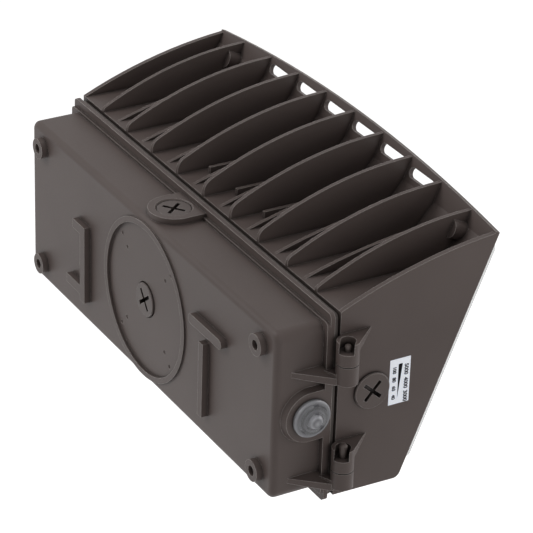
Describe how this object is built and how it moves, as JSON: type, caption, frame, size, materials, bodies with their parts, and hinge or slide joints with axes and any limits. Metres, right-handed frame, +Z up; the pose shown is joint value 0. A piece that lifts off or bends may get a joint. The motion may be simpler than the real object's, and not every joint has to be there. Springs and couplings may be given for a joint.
{
  "type": "wall pack light",
  "caption": "Wall pack light: a cast back box with conduit entries, stand-offs and a photocell, and a finned LED front housing hinged to it at one end and screwed at the other.",
  "frame": {"origin": "centre of the four wall-screw holes, in the plane of the wall; it is also on the axis of the round junction-box ring", "axes": "+Z up, +Y into the wall, so the light faces -Y; +X along the length, towards the end with the door screws"},
  "size_m": [0.3526, 0.1525, 0.1608],
  "materials": {
    "housing_paint": "satin, fine texture",
    "plug_paint": "satin",
    "black_rubber": "matte",
    "grey_silicone": "matte",
    "cell_dome": "clear, glossy",
    "black_plastic": "matte",
    "sensor": "satin",
    "zinc_steel": "zinc plated",
    "stainless": "satin",
    "earth_green": "satin",
    "ivory_plastic": "satin",
    "brass": "satin",
    "board_green": "satin",
    "board_white": "satin",
    "label_white": "satin",
    "lens_plastic": "frosted",
    "phosphor": "satin",
    "reflector_white": "satin",
    "galvanised": "satin",
    "surge_black": "satin",
    "lead_insulation": "satin",
    "nylon": "satin"
  },
  "bodies": {
    "back": {"back_box": "housing_paint", "hinge_pins": "stainless", "door_gasket": "black_rubber", "rear_plug": "plug_paint", "top_plug": "plug_paint", "end_plug": "plug_paint", "photocell_gasket": "black_rubber", "photocell_body": "black_plastic", "photocell_sensor": "sensor", "photocell_lens": "cell_dome", "photocell_nut": "black_plastic", "earth_screw": "earth_green", "terminal_block": "ivory_plastic", "terminal_block_screws": "zinc_steel", "terminal_screws": "brass"},
    "door": {"front_housing": "housing_paint", "selector_board": "board_green", "selector_screws": "zinc_steel", "cct_switch_frame": "stainless", "power_switch_frame": "stainless", "setting_label": "label_white", "lens": "lens_plastic", "lens_gasket": "grey_silicone", "lens_screws": "stainless", "thermal_pad": "grey_silicone", "led_board": "board_white", "leds": "phosphor", "led_board_screws": "zinc_steel", "reflector": "reflector_white", "driver_case": "galvanised", "driver_cover": "galvanised", "driver_board": "board_green", "driver_screws": "zinc_steel", "surge_protector": "surge_black", "surge_screw": "zinc_steel", "grommet": "black_rubber", "led_leads": "lead_insulation"},
    "side_plug_ring": {"side_plug_seal": "black_rubber"},
    "side_plug": {"side_plug": "plug_paint"},
    "cct_knob": {"cct_switch_knob": "black_plastic"},
    "power_knob": {"power_switch_knob": "black_plastic"},
    "upper_retainer": {"upper_screw_retainer": "nylon"},
    "upper_screw": {"upper_door_screw": "stainless"},
    "lower_retainer": {"lower_screw_retainer": "nylon"},
    "lower_screw": {"lower_door_screw": "stainless"}
  },
  "joints": [
    {"name": "door_swing", "type": "hinge", "parent": "back", "child": "door", "pos_m": [-0.1703, -0.0443, 0], "axis": [0, 0, -1], "range_deg": [0, 110]},
    {"name": "side_plug_travel", "type": "slide", "parent": "door", "child": "side_plug_ring", "axis": [-1, 0, 0], "range_m": [0, 0.008]},
    {"name": "side_plug_turn", "type": "hinge", "parent": "side_plug_ring", "child": "side_plug", "pos_m": [-0.1625, -0.0663, 0.0058], "axis": [-1, 0, 0], "range_deg": [0, 1587.5]},
    {"name": "cct_slide", "type": "slide", "parent": "door", "child": "cct_knob", "axis": [0, 0, 1], "range_m": [0, 0.004]},
    {"name": "power_slide", "type": "slide", "parent": "door", "child": "power_knob", "axis": [0, 0, 1], "range_m": [0, 0.006]},
    {"name": "upper_screw_travel", "type": "slide", "parent": "door", "child": "upper_retainer", "axis": [0, -1, 0], "range_m": [-0.0092, 0]},
    {"name": "upper_screw_turn", "type": "hinge", "parent": "upper_retainer", "child": "upper_screw", "pos_m": [0.169, -0.0606, 0.033], "axis": [0, -1, 0], "range_deg": [-4140.5, 0]},
    {"name": "lower_screw_travel", "type": "slide", "parent": "door", "child": "lower_retainer", "axis": [0, -1, 0], "range_m": [-0.0092, 0]},
    {"name": "lower_screw_turn", "type": "hinge", "parent": "lower_retainer", "child": "lower_screw", "pos_m": [0.169, -0.0606, -0.033], "axis": [0, -1, 0], "range_deg": [-4140.5, 0]}
  ],
  "couplings": [
    {"joint": "side_plug_turn", "follows": "side_plug_travel", "rad_per_m": 3463.1},
    {"joint": "upper_screw_turn", "follows": "upper_screw_travel", "rad_per_m": 7854},
    {"joint": "lower_screw_turn", "follows": "lower_screw_travel", "rad_per_m": 7854}
  ]
}
